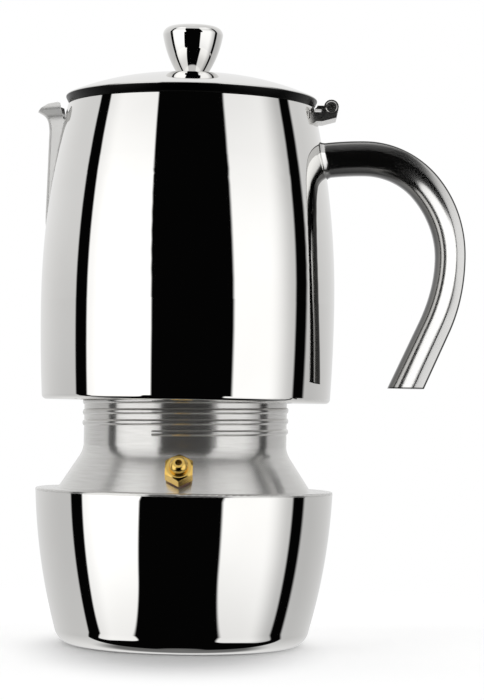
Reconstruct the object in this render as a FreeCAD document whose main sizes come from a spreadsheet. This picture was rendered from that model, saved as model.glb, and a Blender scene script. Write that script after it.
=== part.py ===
"""Six-cup stainless moka pot, +Z up, origin at the centre of the resting face.

The handle and the lid hinge point along +X, the spout along -X and the
safety valve along -Y.  All sizes are millimetres and live in the sheet.
"""
import FreeCAD
import Part
import Sketcher
import math
import os
import re

V = FreeCAD.Vector
doc = FreeCAD.newDocument("moka_pot")
sheet = doc.addObject("Spreadsheet::Sheet", "Dims")

SIZES = {
    # sheet metal and clearances
    "wall": 1.0,
    "thin_sheet": 0.8,
    "edge_round": 0.5,
    "weld_gap": 0.05,
    "lid_gap": 0.1,
    "thread_gap": 0.3,
    "pin_gap": 0.05,
    "side_gap": 0.3,
    # boiler
    "bowl_overhang": 0.5,
    "bowl_height": 51.4,
    "bowl_foot_inset": 7.3,
    "bowl_foot_height": 5.0,
    "base_inset": 13.0,
    "base_corner": 6.0,
    "bowl_bulge_radius": 206.0,
    "cone_foot_inset": 7.5,
    "cone_height": 10.4,
    "neck_radius": 34.5,
    "cone_top_step": 1.7,
    "blend_height": 4.2,
    "blend_radius": 9.0,
    "skirt_height": 29.9,
    "neck_rise": 9.7,
    # rolled thread
    "thread_pitch": 3.6,
    "thread_round": 1.22,
    "thread_depth": 0.8,
    "thread_start": 19.14,
    "thread_angle": -106.0,
    "thread_length": 18.0,
    # coffee funnel
    "flange_inset": 0.2,
    "basket_play": 1.5,
    "basket_depth": 30.0,
    "basket_cone": 6.0,
    "stem_radius": 5.5,
    "stem_collar": 5.0,
    "stem_clearance": 5.0,
    "screen_sheet": 0.6,
    "screen_hole": 0.8,
    "screen_ring_step": 5.0,
    # seal and upper filter
    "gasket_height": 2.6,
    "gasket_width": 7.8,
    "filter_sheet": 0.6,
    "filter_dish": 1.8,
    "filter_flange": 6.0,
    "filter_hole": 0.7,
    "filter_ring_step": 4.6,
    # collector
    "shell_radius": 50.0,
    "shell_foot_inset": 0.9,
    "shell_corner": 1.6,
    "shell_height": 100.2,
    "belly_height": 33.1,
    "rim_inset": 7.8,
    "ring_thickness": 3.2,
    "ring_lap": 1.8,
    "floor_lip": 4.0,
    "column_bore": 4.0,
    "column_foot_radius": 12.0,
    "column_base_radius": 7.2,
    "column_top_radius": 5.4,
    "column_height": 62.0,
    "column_slot_width": 3.4,
    "column_slot_height": 6.0,
    "column_slot_drop": 9.0,
    "cap_height": 1.8,
    "cap_overhang": 0.7,
    "cap_spigot": 3.0,
    "cap_play": 0.1,
    # spout
    "keel_low_inset": 0.6,
    "keel_high_inset": 1.4,
    "tip_reach": 2.5,
    "spout_length": 43.0,
    "spout_lean": 36.0,
    "spout_nose_radius": 2.4,
    "lip_rise": 0.5,
    "tip_drop": 2.2,
    "notch_depth": 5.0,
    "notch_width": 2.2,
    "pour_half_width": 5.2,
    "pour_depth": 20.0,
    # handle
    "grip_thickness": 11.8,
    "grip_edge": 6.0,
    "grip_lean": 10.5,
    "grip_crown": 15.0,
    "grip_inner_round": 2.4,
    "grip_outer_round": 1.6,
    "grip_wall": 1.0,
    "arm_drop": 16.3,
    "arm_reach": 9.5,
    "arm_crown_radius": 100.0,
    "bend_radius": 27.5,
    "bend_angle": 50.0,
    "knee_radius": 36.9,
    "grip_radius": 58.8,
    "grip_angle": 24.0,
    "handle_drop": 94.5,
    "end_cap_height": 1.5,
    # hinge
    "hinge_reach": 5.5,
    "hinge_rise": 0.5,
    "knuckle_radius": 2.5,
    "pin_radius": 1.5,
    "pin_head_radius": 2.0,
    "pin_head_height": 0.5,
    "pin_dimple_radius": 0.9,
    "pin_dimple_depth": 0.6,
    "hinge_width": 13.0,
    "tab_width": 7.0,
    "tab_thickness": 1.2,
    "tab_rise": 0.8,
    "bracket_height": 4.9,
    "bracket_foot": 2.5,
    "bracket_toe": 1.7,
    "bracket_toe_drop": 3.6,
    "bracket_back_drop": 1.8,
    "slot_floor": 2.8,
    # lid
    "lid_overhang": 1.0,
    "bead_height": 4.45,
    "bead_round": 1.7,
    "bead_foot_inset": 1.2,
    "bead_waist": 1.5,
    "bead_face": 2.0,
    "bead_face_round": 8.0,
    "bead_taper": 0.15,
    "bead_corner": 1.1,
    "dome_edge_inset": 0.95,
    "dome_height": 6.75,
    "lid_lip_play": 0.8,
    "lid_lip_depth": 2.6,
    "knob_seat_radius": 7.0,
    # knob
    "knob_waist": 4.8,
    "knob_radius": 10.3,
    "knob_side_height": 13.9,
    "knob_side_bulge": 36.0,
    "knob_shoulder": 2.1,
    "knob_shoulder_height": 2.6,
    "knob_shoulder_round": 2.9,
    "knob_crown_height": 0.8,
    "knob_screw_radius": 1.95,
    "knob_screw_length": 9.0,
    "knob_screw_end_gap": 1.0,
    "screw_play": 0.25,
    "screw_head_radius": 3.6,
    "screw_head_height": 2.2,
    "screw_slot_width": 0.9,
    "screw_slot_depth": 1.1,
    "washer_radius": 5.0,
    "washer_height": 0.8,
    # safety valve
    "valve_height": 5.9,
    "valve_angle": -90.0,
    "valve_hex_radius": 5.2,
    "valve_hex_height": 4.0,
    "valve_hex_chamfer": 0.55,
    "valve_shank_radius": 3.4,
    "valve_shank_length": 8.0,
    "valve_hole_play": 0.2,
    "valve_bore": 2.1,
    "valve_nose_radius": 3.05,
    "valve_nose_height": 2.7,
    "valve_nose_round": 2.6,
    "valve_nose_ring": 1.95,
    "valve_outlet": 1.1,
    "valve_crown": 0.3,
    "valve_washer_height": 0.8,
    "valve_washer_radius": 4.3,
    "valve_nut_height": 2.6,
    "valve_nut_seat": 0.5,
    "seat_height": 1.8,
    "seat_hole": 0.8,
    "ball_radius": 1.8,
    "ball_gap": 0.03,
    "spring_radius": 1.4,
    "spring_wire": 0.22,
    "spring_pitch": 1.05,
    "spring_end_gap": 0.1,
}

for row, (alias, value) in enumerate(SIZES.items(), start=1):
    sheet.set("A%d" % row, alias)
    sheet.set("B%d" % row, str(value))
    sheet.setAlias("B%d" % row, alias)
doc.recompute()


def bound(text):
    """Expression text with every size name read from the sheet."""
    return re.sub(
        r"[a-z][a-z_]+",
        lambda m: "Dims." + m.group(0) if m.group(0) in SIZES else m.group(0),
        text,
    )


def num(text):
    """Present value of an expression in the sheet's sizes."""
    value = sheet.evalExpression(bound(text))
    return float(getattr(value, "Value", value))


# Levels above the resting face, from the boiler up to the knob.
LEDGE = "(bowl_height + wall)"
CONE_TOP = "(%s + cone_height)" % LEDGE
NECK_FOOT = "(%s + blend_height)" % CONE_TOP
SHELL_FOOT = "(%s + skirt_height)" % LEDGE
NECK_TOP = "(%s + neck_rise)" % SHELL_FOOT
FLANGE_TOP = "(%s + thin_sheet)" % NECK_TOP
GASKET_TOP = "(%s + gasket_height)" % FLANGE_TOP
FLOOR = "(%s + filter_sheet)" % GASKET_TOP
FLOOR_TOP = "(%s + wall)" % FLOOR
BELLY = "(%s + belly_height)" % SHELL_FOOT
RIM = "(%s + shell_height)" % SHELL_FOOT
LID_SEAT = "(%s + lid_gap)" % RIM
DOME_EDGE = "(%s + bead_height)" % LID_SEAT
LID_TOP = "(%s + dome_height)" % DOME_EDGE
HINGE_Z = "(%s + hinge_rise)" % RIM
BASKET_FLOOR = "(%s - basket_depth)" % NECK_TOP
BASKET_EXIT = "(%s - basket_cone)" % BASKET_FLOOR
COLUMN_TOP = "(%s + column_height)" % FLOOR_TOP
THREAD_Z = "(%s + thread_start)" % LEDGE

# Radii shared by pieces that fit together.
BOWL_R = "(shell_radius + bowl_overhang)"
CONE_FOOT_R = "(%s - cone_foot_inset)" % BOWL_R
CONE_TOP_R = "(neck_radius + cone_top_step)"
BOWL_FOOT_R = "(%s - bowl_foot_inset)" % BOWL_R
BASE_R = "(%s - base_inset)" % BOWL_R
BASKET_R = "(neck_radius - wall - basket_play)"
RING_R = "(neck_radius + thread_gap)"
SHELL_FOOT_R = "(shell_radius - shell_foot_inset)"
RIM_R = "(shell_radius - rim_inset)"
BEAD_R = "(%s + lid_overhang)" % RIM_R
HINGE_X = "(%s + hinge_reach)" % RIM_R
LOWER_BULGE = "(((belly_height - shell_corner)^2 + shell_foot_inset^2) / (2 * shell_foot_inset))"
UPPER_BULGE = "(((shell_height - belly_height)^2 + rim_inset^2) / (2 * rim_inset))"
DOME_RUN = "(%s - dome_edge_inset - knob_seat_radius)" % BEAD_R
DOME_BULGE = "((%s^2 + dome_height^2) / (2 * dome_height))" % DOME_RUN

nodes = {}


def origin_plane(body, role):
    return [f for f in body.Origin.OriginFeatures if f.Role == role][0]


def new_body(label):
    body = doc.addObject("PartDesign::Body", label + "_body")
    body.Label = label
    return body


def outline(body, role, steps, name):
    """Closed outline on an origin plane.

    Each step is (x, y) or (x, y, bulge): the edge that ends there is then an
    arc of that radius, with "+" in front when it bends to the left.
    """
    sketch = body.newObject("Sketcher::SketchObject", name)
    sketch.AttachmentSupport = [(origin_plane(body, role), "")]
    sketch.MapMode = "FlatFace"
    points = [(num(step[0]), num(step[1])) for step in steps]
    ends = []
    limits = []
    for i, step in enumerate(steps):
        j = (i + 1) % len(steps)
        ax, ay = points[i]
        bx, by = points[j]
        start, finish = V(ax, ay, 0), V(bx, by, 0)
        if len(steps[j]) == 2:
            geo = sketch.addGeometry(Part.LineSegment(start, finish), False)
            ends.append((geo, 1, 2))
            continue
        left = steps[j][2].startswith("+")
        text = steps[j][2].lstrip("+")
        radius = num(text)
        chord = finish - start
        half = chord.Length / 2
        side = V(-chord.y, chord.x, 0).normalize()
        rise = math.sqrt(max(radius * radius - half * half, 0.0))
        centre = start + chord * 0.5 + side * (rise if left else -rise)
        a0 = math.atan2(ay - centre.y, ax - centre.x)
        a1 = math.atan2(by - centre.y, bx - centre.x)
        circle = Part.Circle(centre, V(0, 0, 1), radius)
        if left:
            geo = sketch.addGeometry(Part.ArcOfCircle(circle, a0, a1), False)
            ends.append((geo, 1, 2))
        else:
            geo = sketch.addGeometry(Part.ArcOfCircle(circle, a1, a0), False)
            ends.append((geo, 2, 1))
        limits.append((Sketcher.Constraint("Radius", geo, radius), text))
    for i in range(len(ends)):
        before = ends[i - 1]
        here = ends[i]
        limits.append((Sketcher.Constraint("Coincident", before[0], before[2], here[0], here[1]), None))
        for axis, text, value, line in (("DistanceX", steps[i][0], points[i][0], -2),
                                        ("DistanceY", steps[i][1], points[i][1], -1)):
            if text == "0":
                limits.append((Sketcher.Constraint("PointOnObject", here[0], here[1], line), None))
            else:
                limits.append((Sketcher.Constraint(axis, -1, 1, here[0], here[1], value), text))
    first = sketch.ConstraintCount
    sketch.addConstraint([limit for limit, text in limits])
    for k, (limit, text) in enumerate(limits):
        if text is not None:
            sketch.setExpression("Constraints[%d]" % (first + k), bound(text))
    return sketch


def circle(body, role, x, y, radius, name):
    """Round outline with its centre at (x, y)."""
    sketch = body.newObject("Sketcher::SketchObject", name)
    sketch.AttachmentSupport = [(origin_plane(body, role), "")]
    sketch.MapMode = "FlatFace"
    geo = sketch.addGeometry(Part.Circle(V(num(x), num(y), 0), V(0, 0, 1), num(radius)), False)
    limits = [(Sketcher.Constraint("Radius", geo, num(radius)), radius)]
    for axis, text, line in (("DistanceX", x, -2), ("DistanceY", y, -1)):
        if text == "0":
            limits.append((Sketcher.Constraint("PointOnObject", geo, 3, line), None))
        else:
            limits.append((Sketcher.Constraint(axis, -1, 1, geo, 3, num(text)), text))
    sketch.addConstraint([limit for limit, text in limits])
    for k, (limit, text) in enumerate(limits):
        if text is not None:
            sketch.setExpression("Constraints[%d]" % k, bound(text))
    return sketch


def revolve(body, steps, name="turned"):
    """Outline in the XZ plane turned about Z."""
    turned = body.newObject("PartDesign::Revolution", name)
    turned.Profile = outline(body, "XZ_Plane", steps, name + "_outline")
    turned.ReferenceAxis = (turned.Profile[0], ["V_Axis"])
    turned.Angle = 360
    return turned


def pad(body, sketch, length, name):
    """Extrusion of a sketch to both sides of its plane."""
    solid = body.newObject("PartDesign::Pad", name)
    solid.Profile = sketch
    solid.setExpression("Length", bound(length))
    solid.Midplane = True
    return solid


def pocket(body, sketch, length, name, both=True, flip=False):
    """Cut by a sketch, to both sides of its plane or to one."""
    cut = body.newObject("PartDesign::Pocket", name)
    cut.Profile = sketch
    cut.setExpression("Length", bound(length))
    cut.Midplane = both
    cut.Reversed = flip
    return cut


def spin_copies(body, feature, count, name):
    """Copies of a cut spaced evenly about Z."""
    doc.recompute()
    copies = body.newObject("PartDesign::PolarPattern", name)
    copies.Originals = [feature]
    copies.Axis = (origin_plane(body, "Z_Axis"), [""])
    copies.Angle = 360
    copies.Occurrences = count
    body.Tip = copies
    return copies


def helix(body, kind, sketch, pitch, height, name):
    """Right-hand helical rib or groove about Z."""
    turn = body.newObject("PartDesign::" + kind, name)
    turn.Profile = sketch
    turn.ReferenceAxis = (sketch, ["V_Axis"])
    turn.Mode = 0
    turn.setExpression("Pitch", bound(pitch))
    turn.setExpression("Height", bound(height))
    turn.LeftHanded = False
    return turn


def keep(obj, label):
    obj.Label = label
    nodes[label] = obj
    return obj


def cut_by(base, tool, label):
    """Node made of one shape with another taken away."""
    base.Label = label + "_blank"
    cut = doc.addObject("Part::Cut", label + "_cut")
    cut.Base = base
    cut.Tool = tool
    return keep(cut, label)


# Boiler bowl: drawn pan with a flat base and a gently bulged side.
bowl = new_body("boiler_bowl")
revolve(bowl, [
    ("0", "0"),
    (BASE_R, "0"),
    (BOWL_FOOT_R, "bowl_foot_height", "+base_corner"),
    (BOWL_R, "bowl_height", "+bowl_bulge_radius"),
    ("%s - wall" % BOWL_R, "bowl_height"),
    ("%s - wall" % BOWL_FOOT_R, "bowl_foot_height", "bowl_bulge_radius"),
    (BASE_R, "wall", "base_corner - wall"),
    ("0", "wall"),
])
keep(bowl, "boiler_bowl")

# Brushed shoulder: flange on the bowl's rim, cone, neck and rolled thread.
shoulder = new_body("boiler_shoulder")
revolve(shoulder, [
    (BOWL_R, "bowl_height"),
    (BOWL_R, "%s - edge_round" % LEDGE),
    ("%s - edge_round" % BOWL_R, LEDGE, "+edge_round"),
    (CONE_FOOT_R, LEDGE),
    (CONE_TOP_R, CONE_TOP),
    ("neck_radius", NECK_FOOT, "blend_radius"),
    ("neck_radius", NECK_TOP),
    ("neck_radius - wall", NECK_TOP),
    ("neck_radius - wall", NECK_FOOT),
    ("%s - wall" % CONE_TOP_R, CONE_TOP, "+blend_radius"),
    ("%s - wall" % CONE_FOOT_R, "bowl_height"),
])
RIB_FOOT = "(neck_radius + thread_depth - thread_round)"
rib = outline(shoulder, "XZ_Plane", [
    (RIB_FOOT, "%s - thread_round * 0.98" % THREAD_Z),
    (RIB_FOOT, "%s + thread_round * 0.98" % THREAD_Z, "+thread_round"),
], "rib_outline")
rib.AttachmentOffset = FreeCAD.Placement(V(), FreeCAD.Rotation(V(0, 1, 0), num("thread_angle")))
rib.setExpression("AttachmentOffset.Rotation.Angle", bound("thread_angle"))
helix(shoulder, "AdditiveHelix", rib, "thread_pitch", "thread_length", "rolled_thread")

# Valve axis: square to the cone, pointing outwards and up.
slope = math.atan2(num("%s - %s" % (CONE_FOOT_R, CONE_TOP_R)), num("cone_height"))
spin = math.radians(num("valve_angle"))
outward = V(math.cos(spin), math.sin(spin), 0)
valve_axis = outward * math.cos(slope) + V(0, 0, math.sin(slope))
valve_side = V(-math.sin(spin), math.cos(spin), 0)
valve_up = valve_axis.cross(valve_side)
valve_r = num(CONE_FOOT_R) - num("valve_height") * math.tan(slope)
valve_foot = outward * valve_r + V(0, 0, num("%s + valve_height" % LEDGE))
valve_frame = FreeCAD.Placement(valve_foot, FreeCAD.Rotation(valve_side, valve_up, valve_axis, "ZXY"))

valve_drill = doc.addObject("Part::Cylinder", "valve_drill")
valve_drill.setExpression("Radius", bound("valve_shank_radius + valve_hole_play"))
valve_drill.setExpression("Height", bound("2 * valve_shank_length"))
valve_drill.Placement = valve_frame.multiply(
    FreeCAD.Placement(V(0, 0, -num("valve_shank_length")), FreeCAD.Rotation()))
cut_by(shoulder, valve_drill, "boiler_shoulder")

# Safety valve, each piece turned about its own Z and then set on the cone.
HEX_FOOT = "valve_washer_height"
HEX_TOP = "(valve_washer_height + valve_hex_height)"
NOSE_TOP = "(%s + valve_nose_height)" % HEX_TOP
SHANK_END = "(valve_washer_height - valve_shank_length)"
BORE_END = "(%s + valve_crown)" % HEX_TOP


def hexagon(body, radius, name):
    """Six-sided outline with a corner up and a corner down."""
    corners = []
    for k in range(6):
        a = math.radians(60 * k + 30)
        corners.append(("%s * %.6f" % (radius, math.cos(a)), "%s * %.6f" % (radius, math.sin(a))))
    corners[1] = ("0", corners[1][1])
    corners[4] = ("0", corners[4][1])
    return outline(body, "XY_Plane", corners, name)


def hex_prism(body, radius, foot, height, name):
    sketch = hexagon(body, radius, name + "_outline")
    sketch.setExpression("AttachmentOffset.Base.z", bound(foot))
    prism = body.newObject("PartDesign::Pad", name)
    prism.Profile = sketch
    prism.setExpression("Length", bound(height))
    return prism


valve = new_body("valve_body")
hex_prism(valve, "valve_hex_radius", HEX_FOOT, "valve_hex_height", "hexagon")
corner_cut = valve.newObject("PartDesign::Groove", "corner_cut")
corner_cut.Profile = outline(valve, "XZ_Plane", [
    ("valve_hex_radius - 2 * valve_hex_chamfer", HEX_TOP),
    ("valve_hex_radius + valve_hex_chamfer", "%s - 1.5 * valve_hex_chamfer" % HEX_TOP),
    ("valve_hex_radius + valve_hex_chamfer", HEX_TOP),
], "corner_cut_outline")
corner_cut.ReferenceAxis = (corner_cut.Profile[0], ["V_Axis"])
corner_cut.Angle = 360
revolve(valve, [
    ("0", "%s - valve_hex_height / 2" % HEX_TOP),
    ("valve_nose_radius", "%s - valve_hex_height / 2" % HEX_TOP),
    ("valve_nose_radius", HEX_TOP),
    ("valve_nose_ring", NOSE_TOP, "+valve_nose_round"),
    ("0", NOSE_TOP),
], "nose")
revolve(valve, [
    ("0", SHANK_END),
    ("valve_shank_radius", SHANK_END),
    ("valve_shank_radius", "%s + valve_hex_height / 2" % HEX_FOOT),
    ("0", "%s + valve_hex_height / 2" % HEX_FOOT),
], "shank")
bore = valve.newObject("PartDesign::Groove", "bore")
bore.Profile = outline(valve, "XZ_Plane", [
    ("0", "%s - wall" % SHANK_END),
    ("valve_bore", "%s - wall" % SHANK_END),
    ("valve_bore", BORE_END),
    ("valve_outlet", BORE_END),
    ("valve_outlet", "%s + wall" % NOSE_TOP),
    ("0", "%s + wall" % NOSE_TOP),
], "bore_outline")
bore.ReferenceAxis = (bore.Profile[0], ["V_Axis"])
bore.Angle = 360
keep(valve, "valve_body")

washer = new_body("valve_washer")
revolve(washer, [
    ("valve_shank_radius + weld_gap", "0"),
    ("valve_washer_radius", "0"),
    ("valve_washer_radius", "valve_washer_height"),
    ("valve_shank_radius + weld_gap", "valve_washer_height"),
])
keep(washer, "valve_washer")

NUT_TOP = "(-wall - valve_nut_seat)"
nut = new_body("valve_nut")
hex_prism(nut, "valve_hex_radius", "%s - valve_nut_height" % NUT_TOP, "valve_nut_height", "hexagon")
nut_hole = circle(nut, "XY_Plane", "0", "0", "valve_shank_radius + weld_gap", "nut_hole")
pocket(nut, nut_hole, "2 * valve_shank_length", "nut_bore")
keep(nut, "valve_nut")

seat = new_body("valve_seat")
revolve(seat, [
    ("seat_hole", SHANK_END),
    ("valve_bore - weld_gap", SHANK_END),
    ("valve_bore - weld_gap", "%s + seat_height" % SHANK_END),
    ("seat_hole", "%s + seat_height" % SHANK_END),
])
keep(seat, "valve_seat")

BALL_Z = "(%s + seat_height + sqrt(ball_radius^2 - seat_hole^2) + ball_gap)" % SHANK_END
ball = doc.addObject("Part::Sphere", "valve_ball_sphere")
ball.setExpression("Radius", bound("ball_radius"))
keep(ball, "valve_ball")

SPRING_FOOT = ("(%s + sqrt(ball_radius^2 - (spring_radius - spring_wire)^2) + spring_wire + spring_end_gap)"
               % BALL_Z)
spring = new_body("valve_spring")
wire = circle(spring, "XZ_Plane", "spring_radius", SPRING_FOOT, "spring_wire", "wire_section")
helix(spring, "AdditiveHelix", wire, "spring_pitch",
      "%s - %s - spring_wire - spring_end_gap" % (BORE_END, SPRING_FOOT), "coil")
keep(spring, "valve_spring")

for label in ("valve_body", "valve_washer", "valve_nut", "valve_seat", "valve_spring"):
    nodes[label].Placement = valve_frame
ball.Placement = valve_frame.multiply(FreeCAD.Placement(V(0, 0, num(BALL_Z)), FreeCAD.Rotation()))

# Coffee funnel: flanged basket on the neck, stem into the water, loose screen.
COLLAR_R = "(stem_radius + weld_gap)"
basket = new_body("funnel_basket")
revolve(basket, [
    ("neck_radius - flange_inset", NECK_TOP),
    ("neck_radius - flange_inset", FLANGE_TOP),
    ("%s - thin_sheet" % BASKET_R, FLANGE_TOP),
    ("%s - thin_sheet" % BASKET_R, BASKET_FLOOR),
    (COLLAR_R, BASKET_EXIT),
    (COLLAR_R, "%s - stem_collar" % BASKET_EXIT),
    ("%s + thin_sheet" % COLLAR_R, "%s - stem_collar" % BASKET_EXIT),
    ("%s + thin_sheet" % COLLAR_R, "%s - thin_sheet" % BASKET_EXIT),
    (BASKET_R, "%s - thin_sheet" % BASKET_FLOOR),
    (BASKET_R, NECK_TOP),
])
keep(basket, "funnel_basket")

stem = new_body("funnel_stem")
revolve(stem, [
    ("stem_radius - thin_sheet", "wall + stem_clearance"),
    ("stem_radius", "wall + stem_clearance"),
    ("stem_radius", BASKET_EXIT),
    ("stem_radius - thin_sheet", BASKET_EXIT),
])
keep(stem, "funnel_stem")


def perforate(body, hole, step, rings, depth):
    """Rings of round holes, six more in each ring outwards."""
    centre_hole = circle(body, "XY_Plane", "0", "0", hole, "centre_hole")
    pocket(body, centre_hole, depth, "centre_cut")
    for k in range(1, rings + 1):
        sketch = circle(body, "XY_Plane", "%s * %d" % (step, k), "0", hole, "ring_hole_%d" % k)
        cut = pocket(body, sketch, depth, "ring_cut_%d" % k)
        spin_copies(body, cut, 6 * k, "ring_%d" % k)


SCREEN_Z = "(%s + weld_gap)" % BASKET_FLOOR
screen = new_body("basket_screen")
revolve(screen, [
    ("0", SCREEN_Z),
    ("%s - thin_sheet - side_gap / 2" % BASKET_R, SCREEN_Z),
    ("%s - thin_sheet - side_gap / 2" % BASKET_R, "%s + screen_sheet" % SCREEN_Z),
    ("0", "%s + screen_sheet" % SCREEN_Z),
])
perforate(screen, "screen_hole", "screen_ring_step", 5, "4 * %s" % NECK_TOP)
keep(screen, "basket_screen")

# Silicone gasket and dished upper filter under the collector's floor.
GASKET_R = "(neck_radius - flange_inset)"
gasket = new_body("gasket")
revolve(gasket, [
    ("%s - gasket_width" % GASKET_R, FLANGE_TOP),
    (GASKET_R, FLANGE_TOP),
    (GASKET_R, GASKET_TOP),
    ("%s - gasket_width" % GASKET_R, GASKET_TOP),
])
keep(gasket, "gasket")

FILTER_R = "(%s - side_gap)" % GASKET_R
DISH_R = "(%s - gasket_width - side_gap)" % GASKET_R
plate = new_body("filter_plate")
revolve(plate, [
    ("0", "%s - filter_dish" % GASKET_TOP),
    ("%s - filter_sheet" % DISH_R, "%s - filter_dish" % GASKET_TOP),
    (DISH_R, "%s - filter_dish + filter_sheet" % GASKET_TOP),
    (DISH_R, GASKET_TOP),
    ("%s - gasket_width + filter_flange" % GASKET_R, GASKET_TOP),
    ("%s - gasket_width + filter_flange" % GASKET_R, FLOOR),
    ("%s - filter_sheet" % DISH_R, FLOOR),
    ("%s - filter_sheet" % DISH_R, "%s - filter_dish + filter_sheet" % GASKET_TOP),
    ("0", "%s - filter_dish + filter_sheet" % GASKET_TOP),
])
perforate(plate, "filter_hole", "filter_ring_step", 5, "4 * %s" % FLOOR)
keep(plate, "filter_plate")

# Collector shell: polished barrel with a turned-in foot and a pouring notch.
SHELL_CORNER_R = "(%s - shell_corner)" % SHELL_FOOT_R
SHELL_SIDE = "(%s + shell_corner)" % SHELL_FOOT
shell = new_body("collector_shell")
revolve(shell, [
    ("%s + ring_thickness - ring_lap" % RING_R, SHELL_FOOT),
    (SHELL_CORNER_R, SHELL_FOOT),
    (SHELL_FOOT_R, SHELL_SIDE, "+shell_corner"),
    ("shell_radius", BELLY, "+" + LOWER_BULGE),
    (RIM_R, RIM, "+" + UPPER_BULGE),
    ("%s - wall" % RIM_R, RIM),
    ("shell_radius - wall", BELLY, "%s - wall" % UPPER_BULGE),
    ("%s - wall" % SHELL_FOOT_R, SHELL_SIDE, "%s - wall" % LOWER_BULGE),
    (SHELL_CORNER_R, "%s + wall" % SHELL_FOOT, "shell_corner - wall"),
    ("%s + ring_thickness - ring_lap" % RING_R, "%s + wall" % SHELL_FOOT),
])
notch = outline(shell, "YZ_Plane", [
    ("-pour_half_width", "%s + wall" % RIM),
    ("-pour_half_width * 0.55", "%s - pour_depth" % RIM),
    ("pour_half_width * 0.55", "%s - pour_depth" % RIM, "+pour_half_width * 0.56"),
    ("pour_half_width", "%s + wall" % RIM),
], "pour_outline")
pocket(shell, notch, "shell_radius + wall", "pour_notch", both=False)
keep(shell, "collector_shell")

# Outside of the barrel as one solid, for trimming what is welded to it.
envelope = new_body("barrel_outside")
revolve(envelope, [
    ("0", SHELL_FOOT),
    (SHELL_CORNER_R, SHELL_FOOT),
    (SHELL_FOOT_R, SHELL_SIDE, "+shell_corner"),
    ("shell_radius", BELLY, "+" + LOWER_BULGE),
    (RIM_R, RIM, "+" + UPPER_BULGE),
    ("0", RIM),
])

floor = new_body("collector_floor")
FLOOR_R = "(shell_radius - wall - (%s - %s)^2 / (2 * %s) - weld_gap * 2)" % (BELLY, FLOOR, LOWER_BULGE)
revolve(floor, [
    ("column_bore", FLOOR),
    (FLOOR_R, FLOOR),
    (FLOOR_R, "%s + floor_lip" % FLOOR_TOP),
    ("%s - wall" % FLOOR_R, "%s + floor_lip" % FLOOR_TOP),
    ("%s - wall" % FLOOR_R, FLOOR_TOP),
    ("column_bore", FLOOR_TOP),
])
keep(floor, "collector_floor")

ring = new_body("thread_ring")
revolve(ring, [
    (RING_R, "%s + wall" % SHELL_FOOT),
    ("%s + ring_thickness" % RING_R, "%s + wall" % SHELL_FOOT),
    ("%s + ring_thickness" % RING_R, FLOOR),
    (RING_R, FLOOR),
])
groove = outline(ring, "XZ_Plane", [
    (RIB_FOOT, "%s + 2 * thread_pitch - (thread_round + thread_gap) * 0.98" % THREAD_Z),
    (RIB_FOOT, "%s + 2 * thread_pitch + (thread_round + thread_gap) * 0.98" % THREAD_Z,
     "+thread_round + thread_gap"),
], "groove_outline")
groove.AttachmentOffset = FreeCAD.Placement(V(), FreeCAD.Rotation(V(0, 1, 0), num("thread_angle")))
groove.setExpression("AttachmentOffset.Rotation.Angle", bound("thread_angle"))
helix(ring, "SubtractiveHelix", groove, "thread_pitch",
      "%s - %s" % (FLOOR, THREAD_Z), "thread_groove")
keep(ring, "thread_ring")

# Coffee column with two outlet slots below its cap.
column = new_body("chimney")
revolve(column, [
    ("column_bore", FLOOR_TOP),
    ("column_foot_radius", FLOOR_TOP),
    ("column_foot_radius", "%s + wall" % FLOOR_TOP),
    ("column_base_radius", "%s + 3 * wall" % FLOOR_TOP, "wall * 8"),
    ("column_top_radius", COLUMN_TOP),
    ("column_bore", COLUMN_TOP),
])
slot = outline(column, "XZ_Plane", [
    ("-column_slot_width / 2", "%s - column_slot_drop" % COLUMN_TOP),
    ("column_slot_width / 2", "%s - column_slot_drop" % COLUMN_TOP),
    ("column_slot_width / 2", "%s - column_slot_drop + column_slot_height" % COLUMN_TOP),
    ("-column_slot_width / 2", "%s - column_slot_drop + column_slot_height" % COLUMN_TOP),
], "slot_outline")
pocket(column, slot, "4 * column_base_radius", "outlet_slots")
keep(column, "chimney")

cap = new_body("chimney_cap")
revolve(cap, [
    ("0", "%s - cap_spigot" % COLUMN_TOP),
    ("column_bore - cap_play", "%s - cap_spigot" % COLUMN_TOP),
    ("column_bore - cap_play", COLUMN_TOP),
    ("column_top_radius + cap_overhang", COLUMN_TOP),
    ("column_top_radius + cap_overhang", "%s + cap_height / 2" % COLUMN_TOP),
    ("column_top_radius", "%s + cap_height" % COLUMN_TOP),
    ("0", "%s + cap_height" % COLUMN_TOP),
])
keep(cap, "chimney_cap")

# Spout: lofted beak with a rounded keel, trimmed to the barrel and to its lip.
rim_z = num(RIM)
rim_r = num(RIM_R)
tip_x = num("shell_radius + tip_reach")
keel_low = num("shell_radius - keel_low_inset")
keel_high = num("shell_radius - keel_high_inset")
spout_foot = rim_z - num("spout_length")


def barrel_radius(z):
    """Outer radius of the barrel above its belly."""
    bulge = num(UPPER_BULGE)
    return num("shell_radius") - bulge + math.sqrt(bulge ** 2 - (z - num(BELLY)) ** 2)


def beak_section(z, reach, inset):
    """Rounded V at one height, its wings running into the barrel."""
    nose = num("spout_nose_radius") - inset
    centre = reach - num("spout_nose_radius")
    lean = math.radians(num("spout_lean"))
    root = rim_r / 2
    touch_x = centre + nose * math.sin(lean)
    touch_y = nose * math.cos(lean)
    wing = touch_y + (touch_x - root) * math.tan(lean)
    upper = V(-touch_x, touch_y, z)
    lower = V(-touch_x, -touch_y, z)
    root_a = V(-root, wing, z)
    root_b = V(-root, -wing, z)
    return Part.Wire([
        Part.makeLine(root_a, upper),
        Part.Arc(upper, V(-centre - nose, 0, z), lower).toShape(),
        Part.makeLine(lower, root_b),
        Part.makeLine(root_b, root_a),
    ])


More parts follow.
